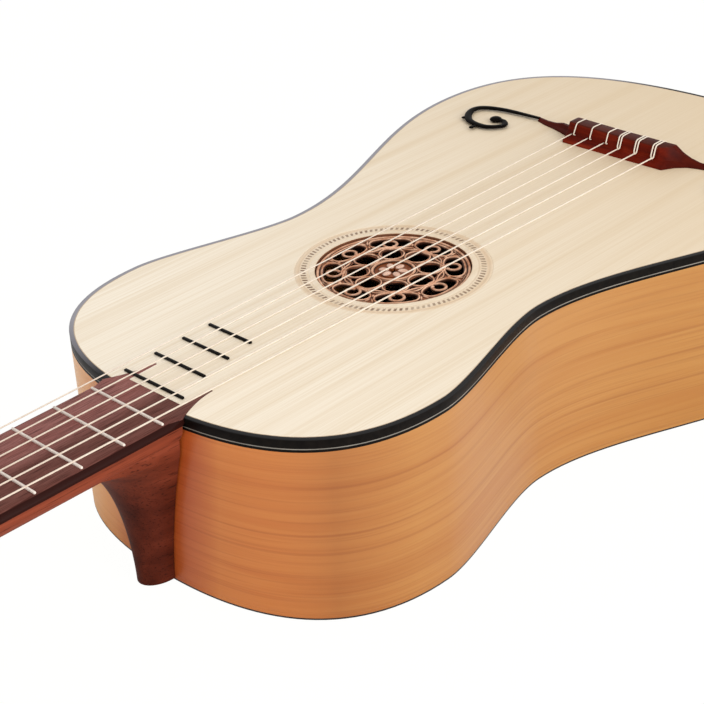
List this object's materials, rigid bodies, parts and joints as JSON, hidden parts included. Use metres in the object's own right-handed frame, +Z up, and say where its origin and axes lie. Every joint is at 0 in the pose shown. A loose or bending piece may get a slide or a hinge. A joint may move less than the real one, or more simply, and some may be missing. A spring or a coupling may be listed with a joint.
{
  "type": "baroque guitar",
  "caption": "Small-bodied guitar with a carved openwork rose, tied bridge with swept wings and scrolls, inlaid frets, slim neck and turning friction pegs.",
  "frame": {"origin": "on the floor under the middle of the whole guitar's box, the back lying flat on the floor", "axes": "+Z up out of the soundboard, +Y along the guitar towards the tail, +X to the bass side"},
  "size_m": [0.258, 0.9528, 0.1118],
  "materials": {
    "soundboard_spruce": "pale spruce with fine lengthwise grain under a thin satin varnish",
    "rib_wood": "honey-orange figured wood, satin varnish",
    "inner_wood": "bare pale softwood",
    "rose_wood": "carved orange-brown pearwood, oiled",
    "neck_wood": "red-brown straight-grained wood, satin",
    "fingerboard_wood": "red-brown rosewood, oiled",
    "bridge_wood": "dark red-brown hardwood, polished",
    "ebony": "black hardwood, satin",
    "bone": "polished ivory-coloured bone",
    "gut": "cream gut string, slightly translucent"
  },
  "bodies": {
    "guitar": {"soundboard": "soundboard_spruce", "top_binding": "ebony", "rib_bass": "rib_wood", "rib_treble": "rib_wood", "back_plate": "rib_wood", "top_lining_bass": "inner_wood", "top_lining_treble": "inner_wood", "back_lining_bass": "inner_wood", "back_lining_treble": "inner_wood", "neck_block": "inner_wood", "tail_block": "inner_wood", "top_bar_1": "inner_wood", "top_bar_2": "inner_wood", "top_bar_3": "inner_wood", "back_bar_1": "inner_wood", "back_bar_2": "inner_wood", "rose": "rose_wood", "rose_ring": "rose_wood", "neck": "neck_wood", "head": "neck_wood", "head_veneer": "ebony", "fingerboard": "fingerboard_wood", "nut": "bone", "fret_01": "bone", "fret_02": "bone", "fret_03": "bone", "fret_04": "bone", "fret_05": "bone", "fret_06": "bone", "fret_07": "bone", "fret_08": "bone", "fret_09": "bone", "fret_10": "bone", "fret_11": "bone", "body_fret_12": "ebony", "body_fret_13": "ebony", "body_fret_14": "ebony", "body_fret_15": "ebony", "bridge": "bridge_wood", "scroll_bass": "ebony", "scroll_treble": "ebony", "string_1": "gut", "string_2": "gut", "string_3": "gut", "string_4": "gut", "string_5": "gut", "string_6": "gut"},
    "peg_one": {"peg_1": "ebony", "string_winding_1": "gut"},
    "peg_two": {"peg_2": "ebony", "string_winding_2": "gut"},
    "peg_three": {"peg_3": "ebony", "string_winding_3": "gut"},
    "peg_four": {"peg_4": "ebony", "string_winding_4": "gut"},
    "peg_five": {"peg_5": "ebony", "string_winding_5": "gut"},
    "peg_six": {"peg_6": "ebony", "string_winding_6": "gut"}
  },
  "joints": [
    {"name": "peg_1_turn", "type": "hinge", "parent": "guitar", "child": "peg_one", "pos_m": [-0.0225, -0.337, 0.07739], "axis": [0, -0.0908, 0.9959], "continuous": true},
    {"name": "peg_2_turn", "type": "hinge", "parent": "guitar", "child": "peg_two", "pos_m": [-0.023, -0.3868, 0.07285], "axis": [0, -0.0908, 0.9959], "continuous": true},
    {"name": "peg_3_turn", "type": "hinge", "parent": "guitar", "child": "peg_three", "pos_m": [-0.0235, -0.43659, 0.06831], "axis": [0, -0.0908, 0.9959], "continuous": true},
    {"name": "peg_4_turn", "type": "hinge", "parent": "guitar", "child": "peg_four", "pos_m": [0.0235, -0.43659, 0.06831], "axis": [0, -0.0908, 0.9959], "continuous": true},
    {"name": "peg_5_turn", "type": "hinge", "parent": "guitar", "child": "peg_five", "pos_m": [0.023, -0.3868, 0.07285], "axis": [0, -0.0908, 0.9959], "continuous": true},
    {"name": "peg_6_turn", "type": "hinge", "parent": "guitar", "child": "peg_six", "pos_m": [0.0225, -0.337, 0.07739], "axis": [0, -0.0908, 0.9959], "continuous": true}
  ]
}
